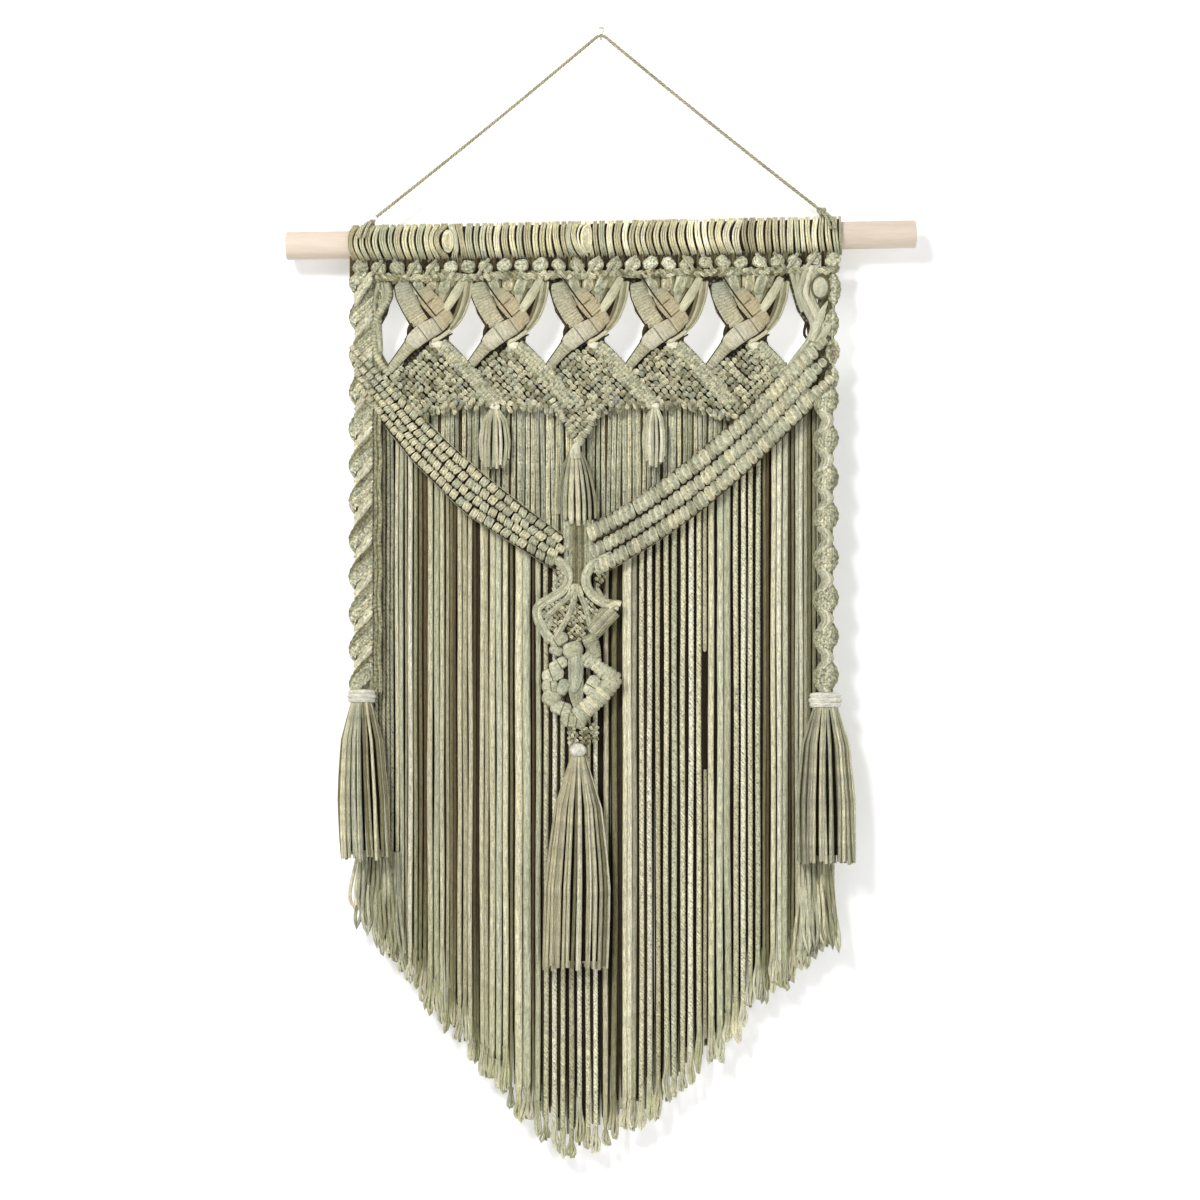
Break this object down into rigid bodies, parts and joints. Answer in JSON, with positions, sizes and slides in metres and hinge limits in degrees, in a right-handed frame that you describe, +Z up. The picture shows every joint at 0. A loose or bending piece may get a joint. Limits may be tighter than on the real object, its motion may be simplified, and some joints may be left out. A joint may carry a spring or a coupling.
{
  "type": "macrame wall hanging on a wooden dowel",
  "caption": "Macrame wall hanging of sage and cream cotton cord on a pale wooden dowel, with crossing bands, a knotted centre piece, side sinnets and a long pointed fringe.",
  "frame": {"origin": "inside the bend of the wire hook at the top, where a nail in the wall holds the piece", "axes": "+Z up along the hanging strands, +X to the viewer's right along the dowel, +Y towards the wall, so the front faces -Y"},
  "size_m": [0.5002, 0.0417, 0.8955],
  "materials": {
    "sage": "matte cotton cord",
    "cream": "matte cotton cord",
    "grey_green": "matte cotton cord",
    "beech": "sanded, unfinished",
    "khaki": "matte twisted cord",
    "steel": "thin pale wire"
  },
  "bodies": {
    "root": {"dowel": "beech", "heading": "sage", "hanger_cord": "khaki", "hanger_hook": "steel", "hanger_tie_left": "khaki", "hanger_tie_right": "khaki", "lattice": "cream", "inner_strands": "grey_green", "band_left": "sage", "band_right": "sage", "curtain": "sage", "sinnet_left": "sage", "sinnet_right": "sage", "tassel_side_left": "cream", "tassel_side_right": "cream", "tassel_centre": "cream", "tassel_upper": "grey_green", "tassel_small_left": "cream", "tassel_small_right": "cream", "ornament": "sage"}
  },
  "joints": []
}
